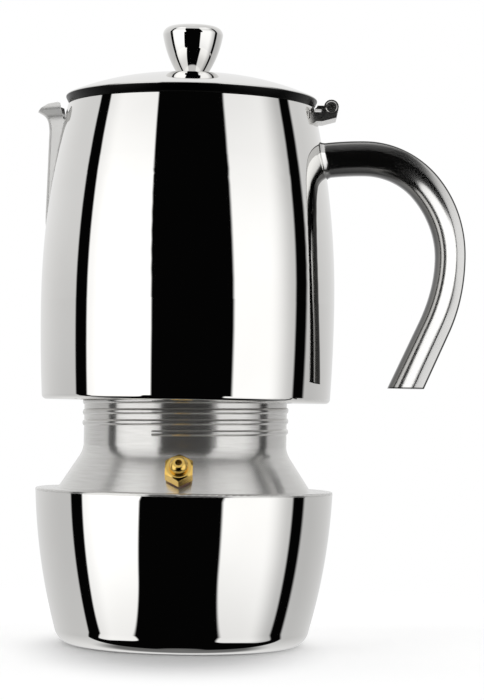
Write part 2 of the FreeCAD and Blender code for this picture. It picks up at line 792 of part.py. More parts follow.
def beak(inset):
    """Beak solid from its foot in the barrel to above the lip."""
    height = num("spout_length")
    flare = tip_x - keel_high
    foot = barrel_radius(spout_foot) - num("weld_gap")
    stations = []
    for step in range(19):
        part = step / 18
        rise = max(0.0, 1 - 6 * part)
        keel = keel_low + part * (keel_high - keel_low)
        stations.append((0.8 * part, keel - (keel_low - foot) * rise ** 2))
    stations += [
        (0.845, keel_high + 0.05 * flare),
        (0.881, keel_high + 0.14 * flare),
        (0.919, keel_high + 0.45 * flare),
        (0.949, tip_x),
        (0.988, tip_x + 0.4 * flare),
        (1.035, tip_x + 0.56 * flare),
    ]
    return Part.makeLoft([beak_section(spout_foot + f * height, reach, inset) for f, reach in stations], True)


lip_z = rim_z + num("lip_rise")
tip_z = rim_z - num("tip_drop")
notch_z = rim_z - num("notch_depth")
above = 4 * num("tip_drop")
lip_cut = [
    V(-tip_x - above, 0, tip_z),
    V(-tip_x, 0, tip_z),
    V(-keel_high - 0.65 * (tip_x - keel_high), 0, (lip_z + tip_z) / 2),
    V(-keel_high, 0, lip_z - num("lip_rise") / 2),
    V(-(rim_r + 1.4 * num("notch_width")), 0, lip_z),
    V(-(rim_r + num("notch_width")), 0, lip_z - num("lip_rise") / 2),
    V(-barrel_radius(notch_z), 0, notch_z),
    V(0, 0, notch_z),
    V(0, 0, rim_z + above),
    V(-tip_x - above, 0, rim_z + above),
]
lip_face = Part.Face(Part.makePolygon(lip_cut + [lip_cut[0]]))
lip_face.translate(V(0, -tip_x, 0))
lip_tool = lip_face.extrude(V(0, 2 * tip_x, 0))
doc.recompute()
outer_beak = beak(0.0)
inner_beak = beak(num("thin_sheet"))
spout_shape = outer_beak.cut(inner_beak).cut(envelope.Shape).cut(lip_tool)
spout = doc.addObject("Part::Feature", "spout_sheet")
spout.Shape = spout_shape.Solids[0] if len(spout_shape.Solids) == 1 else spout_shape
keep(spout, "spout")

# Handle: flattened steel tube welded to the barrel, open-ended grip with a cap.
ARM_Z = "(%s - arm_drop)" % RIM
ARM_X = "(shell_radius + arm_reach)"
END_Z = "(%s - handle_drop)" % RIM
ROOT_X = "(%s - 2 * wall)" % RIM_R
ROOT_Z = "(%s - arm_crown_radius + sqrt(arm_crown_radius^2 - (%s - %s)^2))" % (ARM_Z, ARM_X, ROOT_X)
BEND_X = "(%s + bend_radius * sin(bend_angle))" % ARM_X
BEND_Z = "(%s - bend_radius * (1 - cos(bend_angle)))" % ARM_Z
KNEE_X = "(%s + knee_radius * (1 - sin(bend_angle)))" % BEND_X
KNEE_Z = "(%s - knee_radius * cos(bend_angle))" % BEND_Z
GRIP_X = "(%s - grip_radius * (1 - cos(grip_angle)))" % KNEE_X
GRIP_Z = "(%s - grip_radius * sin(grip_angle))" % KNEE_Z
TAIL_Z = "(%s - grip_thickness)" % END_Z
TAIL_X = "(%s - (%s - %s) * tan(grip_angle))" % (GRIP_X, GRIP_Z, TAIL_Z)


def open_path(body, steps, name):
    """Open line of straight and right-bending pieces in the XZ plane."""
    sketch = body.newObject("Sketcher::SketchObject", name)
    sketch.AttachmentSupport = [(origin_plane(body, "XZ_Plane"), "")]
    sketch.MapMode = "FlatFace"
    points = [V(num(step[0]), num(step[1]), 0) for step in steps]
    limits = []
    ends = []
    for i in range(len(steps) - 1):
        start, finish = points[i], points[i + 1]
        if len(steps[i + 1]) == 2:
            geo = sketch.addGeometry(Part.LineSegment(start, finish), False)
            ends.append((geo, 1, 2))
            continue
        radius = num(steps[i + 1][2])
        chord = finish - start
        side = V(chord.y, -chord.x, 0).normalize()
        centre = start + chord * 0.5 + side * math.sqrt(radius ** 2 - chord.Length ** 2 / 4)
        a0 = math.atan2(start.y - centre.y, start.x - centre.x)
        a1 = math.atan2(finish.y - centre.y, finish.x - centre.x)
        geo = sketch.addGeometry(Part.ArcOfCircle(Part.Circle(centre, V(0, 0, 1), radius), a1, a0), False)
        ends.append((geo, 2, 1))
        limits.append((Sketcher.Constraint("Radius", geo, radius), steps[i + 1][2]))
    for i, (geo, start, finish) in enumerate(ends):
        if i:
            limits.append((Sketcher.Constraint("Coincident", ends[i - 1][0], ends[i - 1][2], geo, start), None))
        limits.append((Sketcher.Constraint("DistanceX", -1, 1, geo, start, points[i].x), steps[i][0]))
        limits.append((Sketcher.Constraint("DistanceY", -1, 1, geo, start, points[i].y), steps[i][1]))
    geo, start, finish = ends[-1]
    limits.append((Sketcher.Constraint("DistanceX", -1, 1, geo, finish, points[-1].x), steps[-1][0]))
    limits.append((Sketcher.Constraint("DistanceY", -1, 1, geo, finish, points[-1].y), steps[-1][1]))
    sketch.addConstraint([limit for limit, text in limits])
    for k, (limit, text) in enumerate(limits):
        if text is not None:
            sketch.setExpression("Constraints[%d]" % k, bound(text))
    return sketch


def grip_steps(inset):
    """Section of the handle: flat towards the hand's fingers, crowned outwards, with leaning sides."""
    outer = "(grip_outer_round - %s)" % inset
    inner = "(grip_inner_round - %s)" % inset
    half = "(grip_thickness / 2 - %s)" % inset
    edge = "(grip_edge + %s * sin(grip_crown))" % outer
    crown = "(%s / sin(grip_crown))" % edge
    edge_z = "(%s - %s * (1 - cos(grip_crown)))" % (half, crown)
    side = "(grip_edge + %s * cos(2 * grip_lean))" % outer
    side_z = "(%s - %s * (cos(grip_crown) - sin(2 * grip_lean)))" % (edge_z, outer)
    run = "(%s + grip_thickness / 2 - grip_inner_round)" % side_z
    wide = "(%s + %s * tan(grip_lean))" % (side, run)
    bulge = "(%s / sin(2 * grip_lean))" % run
    return [
        ("-%s" % edge, edge_z, "+" + crown),
        ("-%s" % side, side_z, "+" + outer),
        ("-%s" % wide, "%s - %s" % (inner, half), "+" + bulge),
        ("%s - %s" % (inner, wide), "-%s" % half, "+" + inner),
        ("%s - %s" % (wide, inner), "-%s" % half),
        (wide, "%s - %s" % (inner, half), "+" + inner),
        (side, side_z, "+" + bulge),
        (edge, edge_z, "+" + outer),
    ]


def grip_sweep(label, inset):
    """Section carried along the handle's line."""
    body = new_body(label)
    path = open_path(body, [
        (ROOT_X, ROOT_Z),
        (ARM_X, ARM_Z, "arm_crown_radius"),
        (BEND_X, BEND_Z, "bend_radius"),
        (KNEE_X, KNEE_Z, "knee_radius"),
        (GRIP_X, GRIP_Z, "grip_radius"),
        (TAIL_X, TAIL_Z),
    ], label + "_path")
    oval = outline(body, "YZ_Plane", grip_steps(inset), label + "_section")
    oval.setExpression("AttachmentOffset.Base.z", bound(ROOT_X))
    oval.setExpression("AttachmentOffset.Base.y", bound(ROOT_Z))
    sweep = body.newObject("PartDesign::AdditivePipe", label + "_sweep")
    sweep.Profile = oval
    sweep.Spine = path
    return body


def slab(label, top, height):
    """Wide block below one level."""
    block = doc.addObject("Part::Box", label)
    block.setExpression("Length", bound("6 * shell_radius"))
    block.setExpression("Width", bound("6 * shell_radius"))
    block.setExpression("Height", bound(height))
    block.setExpression("Placement.Base.x", bound("-3 * shell_radius"))
    block.setExpression("Placement.Base.y", bound("-3 * shell_radius"))
    block.setExpression("Placement.Base.z", bound("%s - (%s)" % (top, height)))
    return block


grip_outside = grip_sweep("grip_outside", "0 * grip_wall")
grip_inside = grip_sweep("grip_inside", "grip_wall")
tube_cut = doc.addObject("Part::Cut", "grip_tube")
tube_cut.Base = grip_outside
tube_cut.Tool = grip_inside
tube_end = doc.addObject("Part::Cut", "grip_tube_end")
tube_end.Base = tube_cut
tube_end.Tool = slab("below_tube", "%s + end_cap_height" % END_Z, "4 * grip_thickness + end_cap_height")
cut_by(tube_end, envelope, "handle_tube")

end_cap = doc.addObject("Part::Common", "end_cap_plate")
end_cap.Base = grip_outside
end_cap.Tool = slab("cap_slab", "%s + end_cap_height" % END_Z, "end_cap_height")
keep(end_cap, "handle_end_cap")

# Hinge bracket: two ears on a welded foot, pinned to the lid's tab.
BRACKET_FOOT_Z = "(%s - bracket_height)" % HINGE_Z
hinge = new_body("hinge_bracket")
ears = outline(hinge, "XZ_Plane", [
    ("%s - 2 * wall" % RIM_R, BRACKET_FOOT_Z),
    ("%s + bracket_foot" % RIM_R, BRACKET_FOOT_Z),
    ("%s + bracket_toe" % HINGE_X, "%s - bracket_toe_drop" % HINGE_Z),
    ("%s + knuckle_radius" % HINGE_X, HINGE_Z),
    (HINGE_X, "%s + knuckle_radius" % HINGE_Z, "+knuckle_radius"),
    ("%s - knuckle_radius" % HINGE_X, HINGE_Z, "+knuckle_radius"),
    ("%s + wall" % BEAD_R, "%s - bracket_back_drop" % HINGE_Z),
    ("%s - 2 * wall" % RIM_R, "%s - bracket_back_drop" % HINGE_Z),
], "ear_outline")
pad(hinge, ears, "hinge_width", "ears")
gap = outline(hinge, "XZ_Plane", [
    ("%s + 2 * wall" % RIM_R, "%s - slot_floor" % HINGE_Z),
    ("%s + 2 * knuckle_radius" % HINGE_X, "%s - slot_floor" % HINGE_Z),
    ("%s + 2 * knuckle_radius" % HINGE_X, "%s + 2 * knuckle_radius" % HINGE_Z),
    ("%s + 2 * wall" % RIM_R, "%s + 2 * knuckle_radius" % HINGE_Z),
], "gap_outline")
pocket(hinge, gap, "tab_width + 2 * side_gap", "tab_gap")
eye = circle(hinge, "XZ_Plane", HINGE_X, HINGE_Z, "pin_radius + weld_gap / 5", "eye_outline")
pocket(hinge, eye, "2 * hinge_width", "eye")
cut_by(hinge, envelope, "hinge_bracket")

pin = new_body("hinge_pin")
HEAD = "(hinge_width / 2)"
revolve(pin, [
    ("0", "-%s - pin_head_height + pin_dimple_depth" % HEAD),
    ("pin_dimple_radius", "-%s - pin_head_height + pin_dimple_depth" % HEAD),
    ("pin_dimple_radius", "-%s - pin_head_height" % HEAD),
    ("pin_head_radius - pin_head_height / 2", "-%s - pin_head_height" % HEAD),
    ("pin_head_radius", "-%s - pin_head_height / 2" % HEAD),
    ("pin_head_radius", "-%s" % HEAD),
    ("pin_radius", "-%s" % HEAD),
    ("pin_radius", HEAD),
    ("pin_head_radius", HEAD),
    ("pin_head_radius", "%s + pin_head_height / 2" % HEAD),
    ("pin_head_radius - pin_head_height / 2", "%s + pin_head_height" % HEAD),
    ("0", "%s + pin_head_height" % HEAD),
])
pin.Placement = FreeCAD.Placement(V(num(HINGE_X), 0, num(HINGE_Z)), FreeCAD.Rotation(V(1, 0, 0), -90))
keep(pin, "hinge_pin")

# Lid: shallow dome with a rolled bead and a locating lip inside the rim.
BEAD_FOOT_R = "(%s - bead_foot_inset)" % BEAD_R
DOME_EDGE_R = "(%s - dome_edge_inset)" % BEAD_R
LIP_R = "(%s - wall - lid_lip_play)" % RIM_R
BEAD_FACE_Z = "(%s + bead_waist)" % LID_SEAT
LID_BEAD_STEPS = [
    (BEAD_FOOT_R, LID_SEAT),
    (BEAD_R, BEAD_FACE_Z, "+bead_round"),
    ("%s - bead_taper" % BEAD_R, "%s + bead_face" % BEAD_FACE_Z, "+bead_face_round"),
    (DOME_EDGE_R, DOME_EDGE, "+bead_corner"),
    ("knob_seat_radius", LID_TOP, "+" + DOME_BULGE),
]
lid = new_body("lid_shell")
revolve(lid, LID_BEAD_STEPS + [
    ("knob_screw_radius + screw_play", LID_TOP),
    ("knob_screw_radius + screw_play", "%s - thin_sheet" % LID_TOP),
    ("knob_seat_radius", "%s - thin_sheet" % LID_TOP),
    ("%s - thin_sheet" % LIP_R, "%s - thin_sheet - thin_sheet / 2" % DOME_EDGE, DOME_BULGE),
    ("%s - thin_sheet" % LIP_R, "%s - lid_lip_depth" % LID_SEAT),
    (LIP_R, "%s - lid_lip_depth" % LID_SEAT),
    (LIP_R, LID_SEAT),
])
keep(lid, "lid_shell")

lid_outside = new_body("lid_outside")
revolve(lid_outside, LID_BEAD_STEPS + [
    ("0", LID_TOP),
    ("0", LID_SEAT),
])

tab = new_body("lid_hinge_tab")
TAB_UNDER = "(tab_thickness - tab_rise)"
tab_outline = outline(tab, "XZ_Plane", [
    (RIM_R, "%s + tab_rise" % HINGE_Z),
    (RIM_R, "%s - %s" % (HINGE_Z, TAB_UNDER)),
    ("%s - sqrt(knuckle_radius^2 - %s^2)" % (HINGE_X, TAB_UNDER), "%s - %s" % (HINGE_Z, TAB_UNDER)),
    ("%s + knuckle_radius" % HINGE_X, HINGE_Z, "+knuckle_radius"),
    ("%s - sqrt(knuckle_radius^2 - tab_rise^2)" % HINGE_X, "%s + tab_rise" % HINGE_Z, "+knuckle_radius"),
], "tab_outline")
pad(tab, tab_outline, "tab_width", "strap")
tab_eye = circle(tab, "XZ_Plane", HINGE_X, HINGE_Z, "pin_radius + pin_gap", "tab_eye_outline")
pocket(tab, tab_eye, "2 * hinge_width", "tab_eye")
cut_by(tab, lid_outside, "lid_hinge_tab")

# Knob, screwed on from inside the lid.
KNOB_SIDE = "(%s + knob_side_height)" % LID_TOP
KNOB_SHOULDER = "(%s + knob_shoulder_height)" % KNOB_SIDE
knob = new_body("knob")
revolve(knob, [
    ("0", "%s + knob_screw_length + knob_screw_end_gap" % LID_TOP),
    ("knob_screw_radius + weld_gap", "%s + knob_screw_length + knob_screw_end_gap" % LID_TOP),
    ("knob_screw_radius + weld_gap", LID_TOP),
    ("knob_waist", LID_TOP),
    ("knob_radius", KNOB_SIDE, "+knob_side_bulge"),
    ("knob_radius - knob_shoulder", KNOB_SHOULDER, "+knob_shoulder_round"),
    ("0", "%s + knob_crown_height" % KNOB_SHOULDER,
     "+((knob_radius - knob_shoulder)^2 + knob_crown_height^2) / (2 * knob_crown_height)"),
])
keep(knob, "knob")

PAD_UNDER = "(%s - thin_sheet)" % LID_TOP
knob_washer = new_body("knob_washer")
revolve(knob_washer, [
    ("knob_screw_radius + screw_play", "%s - washer_height" % PAD_UNDER),
    ("washer_radius", "%s - washer_height" % PAD_UNDER),
    ("washer_radius", PAD_UNDER),
    ("knob_screw_radius + screw_play", PAD_UNDER),
])
keep(knob_washer, "knob_washer")

HEAD_TOP = "(%s - washer_height)" % PAD_UNDER
screw = new_body("knob_screw")
revolve(screw, [
    ("0", "%s - screw_head_height" % HEAD_TOP),
    ("screw_head_radius - edge_round", "%s - screw_head_height" % HEAD_TOP),
    ("screw_head_radius", "%s - screw_head_height + edge_round" % HEAD_TOP, "+edge_round"),
    ("screw_head_radius", HEAD_TOP),
    ("knob_screw_radius", HEAD_TOP),
    ("knob_screw_radius", "%s + knob_screw_length" % LID_TOP),
    ("0", "%s + knob_screw_length" % LID_TOP),
])
slot_outline = outline(screw, "XZ_Plane", [
    ("-screw_slot_width / 2", "%s - screw_head_height - wall" % HEAD_TOP),
    ("screw_slot_width / 2", "%s - screw_head_height - wall" % HEAD_TOP),
    ("screw_slot_width / 2", "%s - screw_head_height + screw_slot_depth" % HEAD_TOP),
    ("-screw_slot_width / 2", "%s - screw_head_height + screw_slot_depth" % HEAD_TOP),
], "slot_outline")
pocket(screw, slot_outline, "4 * screw_head_radius", "slot")
keep(screw, "knob_screw")

doc.recompute()
faults = [o.Name for o in doc.Objects if "Invalid" in o.State or "Error" in o.State]
for label, node in nodes.items():
    if node.Shape.isNull() or not node.Shape.isValid():
        faults.append(label)
    if len(node.Shape.Solids) != 1:
        faults.append("%s has %d solids" % (label, len(node.Shape.Solids)))
if faults:
    raise RuntimeError("faulty: " + ", ".join(faults))

os.makedirs("parts", exist_ok=True)
for label, node in nodes.items():
    node.Shape.exportStep("parts/%s.step" % label)
    print("%-18s %10.1f mm3" % (label, node.Shape.Volume))
print("%d pieces" % len(nodes))
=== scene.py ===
"""Stainless moka pot: finishes, finer skins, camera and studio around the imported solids."""

import math

import bmesh
import bpy
from mathutils import Matrix, Vector


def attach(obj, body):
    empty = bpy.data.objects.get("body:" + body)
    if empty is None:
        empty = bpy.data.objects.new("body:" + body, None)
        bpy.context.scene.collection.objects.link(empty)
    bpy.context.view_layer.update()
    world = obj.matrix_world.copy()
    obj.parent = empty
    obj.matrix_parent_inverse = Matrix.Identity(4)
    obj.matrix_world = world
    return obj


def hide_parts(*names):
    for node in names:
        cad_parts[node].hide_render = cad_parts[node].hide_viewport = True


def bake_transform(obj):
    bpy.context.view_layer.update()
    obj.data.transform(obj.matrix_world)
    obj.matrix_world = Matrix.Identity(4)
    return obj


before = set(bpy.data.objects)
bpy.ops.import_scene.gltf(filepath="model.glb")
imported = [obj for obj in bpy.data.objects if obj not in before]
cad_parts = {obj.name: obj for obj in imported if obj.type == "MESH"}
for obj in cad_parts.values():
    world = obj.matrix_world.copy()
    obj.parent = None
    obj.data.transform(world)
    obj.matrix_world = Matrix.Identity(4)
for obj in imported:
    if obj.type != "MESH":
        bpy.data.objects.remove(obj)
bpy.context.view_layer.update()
scene = bpy.context.scene
scene.view_settings.view_transform = "Standard"


# ---------------------------------------------------------------- shader values
# Sockets that are picked by their place in the node.
FROM_DIRECTION, FROM_OBJECT = 0, 3  # Texture Coordinate
CAMERA_RAY = 0  # Light Path
AS_NUMBER = 2  # Attribute
MIX_DARK, MIX_LIGHT, MIX_COLOUR = 6, 7, 2  # Mix, for colours


class Value:
    """One shader socket. Arithmetic on it adds Math nodes to the same tree."""

    def __init__(self, tree, socket=None):
        self.tree = tree
        self.socket = socket

    def node(self, kind, settings=None, sockets=None, out=0):
        """One output of a new node, whose sockets take numbers, colours or Values."""
        made = self.tree.nodes.new(kind)
        for name, value in (settings or {}).items():
            setattr(made, name, value)
        for name, value in (sockets or {}).items():
            feed(made, name, value)
        return Value(self.tree, made.outputs[out])

    def math(self, operation, *values):
        return self.node("ShaderNodeMath", {"operation": operation}, dict(enumerate(values)))

    def __add__(self, other):
        return self.math("ADD", self, other)

    def __radd__(self, other):
        return self.math("ADD", other, self)

    def __sub__(self, other):
        return self.math("SUBTRACT", self, other)

    def __rsub__(self, other):
        return self.math("SUBTRACT", other, self)

    def __mul__(self, other):
        return self.math("MULTIPLY", self, other)

    def __rmul__(self, other):
        return self.math("MULTIPLY", other, self)

    def __truediv__(self, other):
        return self.math("DIVIDE", self, other)

    def __rtruediv__(self, other):
        return self.math("DIVIDE", other, self)

    def __abs__(self):
        return self.math("ABSOLUTE", self)

    def least(self, other):
        return self.math("MINIMUM", self, other)

    def most(self, other):
        return self.math("MAXIMUM", self, other)

    def hypot(self, other):
        return self.math("SQRT", self * self + other * other)

    def ramp(self, low, high):
        """0 below low and 1 above high, eased between them."""
        return self.node(
            "ShaderNodeMapRange",
            {"interpolation_type": "SMOOTHSTEP"},
            {"Value": self, "From Min": low, "From Max": high},
        )

    def band(self, rise, fall):
        """1 between a ramp up and a ramp down, 0 outside them."""
        return self.ramp(*rise) * (1.0 - self.ramp(*fall))

    def split(self):
        made = self.node("ShaderNodeSeparateXYZ", None, {"Vector": self})
        return [Value(self.tree, s) for s in made.socket.node.outputs]

    def joined(self, x, y, z):
        return self.node("ShaderNodeCombineXYZ", None, {"X": x, "Y": y, "Z": z})

    def noise(self, scale, detail, roughness=0.5):
        return self.node(
            "ShaderNodeTexNoise",
            None,
            {"Vector": self, "Scale": scale, "Detail": detail, "Roughness": roughness},
        )

    def tint(self, dark, light):
        """A colour between dark and light by this value."""
        return self.node(
            "ShaderNodeMix",
            {"data_type": "RGBA"},
            {"Factor": self, MIX_DARK: (*dark, 1.0), MIX_LIGHT: (*light, 1.0)},
            out=MIX_COLOUR,
        )


def feed(node, socket, value):
    """Give a node's input a plain value, or link it to a Value."""
    if isinstance(value, Value):
        value.tree.links.new(value.socket, node.inputs[socket])
    else:
        node.inputs[socket].default_value = value


def new_material(name):
    material = bpy.data.materials.new(name)
    material.use_nodes = True
    tree = material.node_tree
    place = Value(tree).node("ShaderNodeTexCoord", out=FROM_OBJECT)
    return material, tree.nodes["Principled BSDF"], place


def bump(shader, height, distance):
    """Relief of the given depth, in metres."""
    made = height.node("ShaderNodeBump", None, {"Height": height, "Distance": distance})
    feed(shader, "Normal", made)


def around(place, per_turn, per_metre):
    """Coordinates that run slowly round the pot's axis and fast along and across it."""
    x, y, z = place.split()
    turn = x.math("ARCTAN2", y, x) * (per_turn / math.tau)
    return x.joined(turn, z * per_metre, x.hypot(y) * per_metre)


# ---------------------------------------------------------------- finishes
# Colours are the darker and the lighter end of a finish.
POLISHED_COLOURS = ((0.80, 0.79, 0.77), (0.86, 0.855, 0.84))
# The lid's darker end is painted shade on its undercut edge, nearly black.
LID_COLOURS_AND_PAINTED_SHADE = ((0.012, 0.012, 0.012), (0.84, 0.835, 0.82))
# The handle's darker end is black, for painted dark reflections and painted shade.
HANDLE_COLOURS_AND_PAINTED_SHADE = ((0.0, 0.0, 0.0), (0.85, 0.845, 0.83))
SPOUT_COLOURS = ((0.68, 0.675, 0.66), (0.76, 0.755, 0.74))
HINGE_COLOURS = ((0.70, 0.69, 0.67), (0.82, 0.815, 0.80))
BRUSHED_COLOURS = ((0.60, 0.59, 0.57), (0.84, 0.835, 0.82))
INNER_COLOURS = ((0.60, 0.59, 0.57), (0.74, 0.735, 0.72))
BRASS_COLOURS = ((0.72, 0.46, 0.10), (0.88, 0.62, 0.20))
FIBRE_COLOURS = ((0.20, 0.07, 0.05), (0.36, 0.15, 0.10))
SILICONE_COLOURS = ((0.78, 0.76, 0.70), (0.86, 0.845, 0.80))

# Patterns are a noise's scale, its detail and, for some, its roughness.
WIPE = (38.0, 4.0)  # film that a cloth leaves on polished steel
WAVES = (26.0, 1.0)  # faint unevenness of polished sheet
HAND_POLISH = (60.0, 3.0)
TUMBLED = (900.0, 2.0)
BRUSH_CLOUD = (45.0, 2.0)
STAIN = (60.0, 3.0)
BRASS_TONE = (420.0, 3.0)
BRASS_SCRATCH = (2600.0, 2.0)
FIBRE_FLECK = (1800.0, 4.0, 0.7)
SILICONE_GRAIN = (900.0, 3.0)

# Lines round the pot: repeats per turn, repeats per metre, and the noise that draws them.
BRUSH_LINES = (26.0, 3200.0, (1.0, 4.0, 0.65))
INNER_LINES = (18.0, 1800.0, (1.0, 3.0, 0.6))

# Depths of relief, in metres.
WAVE_DEPTH = 0.000004
SCRATCH_DEPTH = 0.000006
FIBRE_DEPTH = 0.00004
SILICONE_DEPTH = 0.00002

WIPE_SHOWS = (0.35, 0.75)
MIRROR_ROUGH, WIPE_ROUGH = 0.012, 0.022
LID_ROUGH, UNDERCUT_ROUGH = 0.02, 0.30
HANDLE_ROUGH, HANDLE_WIPE_ROUGH = 0.15, 0.04
BRUSHED_METAL = 0.78
BRUSHED_ROUGH, BRUSHED_LINE_ROUGH, BRUSHED_CLOUD_ROUGH = 0.15, 0.08, 0.04
BRUSHED_STRETCH, BRUSHED_TURN = 0.85, 0.25
INNER_ROUGH, INNER_LINE_ROUGH = 0.24, 0.12

# Where the lid's edge is undercut and its colour carries painted shade, in metres.
UNDERCUT_R = (0.0409, 0.0412)
UNDERCUT_Z = (0.18535, 0.18565)

# Where the handle's colour carries painted dark reflections, by depth across the tube in
# millimetres, and by how much.
FINGER_SIDE, FINGER_SHARE = (-6.0, -1.8), 0.02
OUTER_FLANK, FLANK_PAINTED_SHADE = ((1.7, 2.0), (5.0, 5.15)), 0.28
OUTER_CORNER, CORNER_PAINTED_SHADE = ((4.4, 4.6), (5.1, 5.2)), 0.86
# Painted shade along the bottom of the handle's end, by height in metres.
END_FACE, END_SHARE = (0.0882, 0.0886), 0.08


def polished_sheet(name):
    """A new steel with the waves of polished sheet, and the film of wiping on it."""
    material, shader, place = new_material(name)
    feed(shader, "Metallic", 1.0)
    bump(shader, place.noise(*WAVES), WAVE_DEPTH)
    return material, shader, place, place.noise(*WIPE)


def polished_steel():
    material, shader, _, wipe = polished_sheet("polished_steel_finish")
    feed(shader, "Base Color", wipe.tint(*POLISHED_COLOURS))
    feed(shader, "Roughness", MIRROR_ROUGH + wipe.ramp(*WIPE_SHOWS) * WIPE_ROUGH)
    return material


def lid_steel_with_painted_shade():
    """Polished steel whose undercut edge is dull and carries painted shade, nearly black."""
    material, shader, place, wipe = polished_sheet("lid_steel_and_painted_shade")
    x, y, z = place.split()
    # Painted shade: the undercut band's colour goes nearly black.
    unshaded = 1.0 - x.hypot(y).ramp(*UNDERCUT_R) * (1.0 - z.ramp(*UNDERCUT_Z))
    rough = UNDERCUT_ROUGH - unshaded * (UNDERCUT_ROUGH - LID_ROUGH)
    feed(shader, "Base Color", unshaded.tint(*LID_COLOURS_AND_PAINTED_SHADE))
    feed(shader, "Roughness", rough + wipe.ramp(*WIPE_SHOWS) * WIPE_ROUGH)
    return material


def handle_steel_with_painted_shade():
    """Tube steel whose colour carries painted dark reflections towards the fingers, on the outer
    flank and at the outer corner, and painted shade at its end.
    """
    material, shader, place, wipe = polished_sheet("handle_steel_and_painted_shade")
    depth = place.node("ShaderNodeAttribute", {"attribute_name": "depth"}, out=AS_NUMBER)
    height = place.split()[2]
    # Painted dark reflections: the colour darkens towards the fingers, on the outer flank and at
    # the outer corner.
    bright = FINGER_SHARE + (1.0 - FINGER_SHARE) * depth.ramp(*FINGER_SIDE)
    bright = bright * (1.0 - FLANK_PAINTED_SHADE * depth.band(*OUTER_FLANK))
    bright = bright * (1.0 - CORNER_PAINTED_SHADE * depth.band(*OUTER_CORNER))
    # Painted shade: the colour goes dark along the bottom of the handle's end.
    bright = bright * (END_SHARE + (1.0 - END_SHARE) * height.ramp(*END_FACE))
    feed(shader, "Base Color", bright.tint(*HANDLE_COLOURS_AND_PAINTED_SHADE))
    feed(shader, "Roughness", HANDLE_ROUGH + wipe.ramp(*WIPE_SHOWS) * HANDLE_WIPE_ROUGH)
    return material


def brushed_steel():
    material, shader, place = new_material("brushed_steel_finish")
    per_turn, per_metre, stroke = BRUSH_LINES
    lines = around(place, per_turn, per_metre).noise(*stroke)
    cloud = place.noise(*BRUSH_CLOUD) * BRUSHED_CLOUD_ROUGH
    feed(shader, "Metallic", BRUSHED_METAL)
    feed(shader, "Base Color", lines.tint(*BRUSHED_COLOURS))
    feed(shader, "Roughness", BRUSHED_ROUGH + lines * BRUSHED_LINE_ROUGH + cloud)
    feed(shader, "Anisotropic", BRUSHED_STRETCH)
    feed(shader, "Anisotropic Rotation", BRUSHED_TURN)
    bump(shader, lines, SCRATCH_DEPTH)
    return material


def inner_steel():
    material, shader, place = new_material("inner_steel_finish")
    per_turn, per_metre, stroke = INNER_LINES
    lines = around(place, per_turn, per_metre).noise(*stroke)
    feed(shader, "Metallic", 1.0)
    feed(shader, "Base Color", place.noise(*STAIN).tint(*INNER_COLOURS))
    feed(shader, "Roughness", INNER_ROUGH + lines * INNER_LINE_ROUGH)
    bump(shader, lines, SCRATCH_DEPTH)
    return material


def grained(name, pattern, colours, smooth, rough, metallic=1.0, relief=None, depth=0.0):
    """A finish whose colour and roughness follow one pattern, with or without relief."""
    material, shader, place = new_material(name)
    grain = place.noise(*pattern)
    feed(shader, "Metallic", metallic)
    feed(shader, "Base Color", grain.tint(*colours))
    feed(shader, "Roughness", smooth + grain * (rough - smooth))
    if relief:
        bump(shader, place.noise(*relief), depth)
    return material


def spout_steel():
    """Hand-polished steel of the welded beak, softer than the barrel."""
    return grained("spout_steel_finish", HAND_POLISH, SPOUT_COLOURS, smooth=0.30, rough=0.38)


def hinge_steel():
    """Tumbled steel of the small hinge pieces."""
    return grained("hinge_steel_finish", TUMBLED, HINGE_COLOURS, smooth=0.24, rough=0.34)


def turned_brass():
    return grained(
        "brass_finish",
        BRASS_TONE,
        BRASS_COLOURS,
        smooth=0.14,
        rough=0.24,
        relief=BRASS_SCRATCH,
        depth=SCRATCH_DEPTH,
    )


def pressed_fibre():
    return grained(
        "fibre_finish",
        FIBRE_FLECK,
        FIBRE_COLOURS,
        smooth=0.62,
        rough=0.82,
        metallic=0.0,
        relief=FIBRE_FLECK,
        depth=FIBRE_DEPTH,
    )


def moulded_silicone():
    return grained(
        "silicone_finish",
        SILICONE_GRAIN,
        SILICONE_COLOURS,
        smooth=0.42,
        rough=0.58,
        metallic=0.0,
        relief=SILICONE_GRAIN,
        depth=SILICONE_DEPTH,
    )


finishes = {
    "polished_steel": polished_steel(),
    "brushed_steel": brushed_steel(),
    "inner_steel": inner_steel(),
    "brass": turned_brass(),
    "fibre": pressed_fibre(),
    "silicone": moulded_silicone(),
}
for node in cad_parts.values():
    slots = node.material_slots
    slots[0].material = finishes[slots[0].material.name.split(".")[0]]
hinge_finish = hinge_steel()
for name in ("hinge_bracket", "hinge_pin", "lid_hinge_tab"):
    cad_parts[name].material_slots[0].material = hinge_finish
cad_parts["spout"].material_slots[0].material = spout_steel()


# ---------------------------------------------------------------- finer pieces
MM = 0.001
UP = Vector((0.0, 0.0, 1.0))
# Turns of a profile that stands on the +X side, seen from the valve's side.
ANTICLOCKWISE, CLOCKWISE = (0.0, -1.0, 0.0), (0.0, 1.0, 0.0)
MERGE = 1e-7  # metres
SHARP_ANGLE = math.radians(42.0)
CORNER_STEPS = 8


def at(x, z, y=0.0):
    """A place given in millimetres."""
    return Vector((x, y, z)) * MM


def finished(bm, name, body, finish, nodes):
    """Close the mesh, shade it smooth and hand it to the body that carries it."""
    bmesh.ops.remove_doubles(bm, verts=bm.verts, dist=MERGE)
    bmesh.ops.recalc_face_normals(bm, faces=bm.faces)
    mesh = bpy.data.meshes.new(name)
    bm.to_mesh(mesh)
    bm.free()
    mesh.shade_smooth()
    mesh.set_sharp_from_angle(angle=SHARP_ANGLE)
    piece = bpy.data.objects.new(name, mesh)
    scene.collection.objects.link(piece)
    piece.data.materials.append(finish)
    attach(piece, body)
    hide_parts(*nodes)


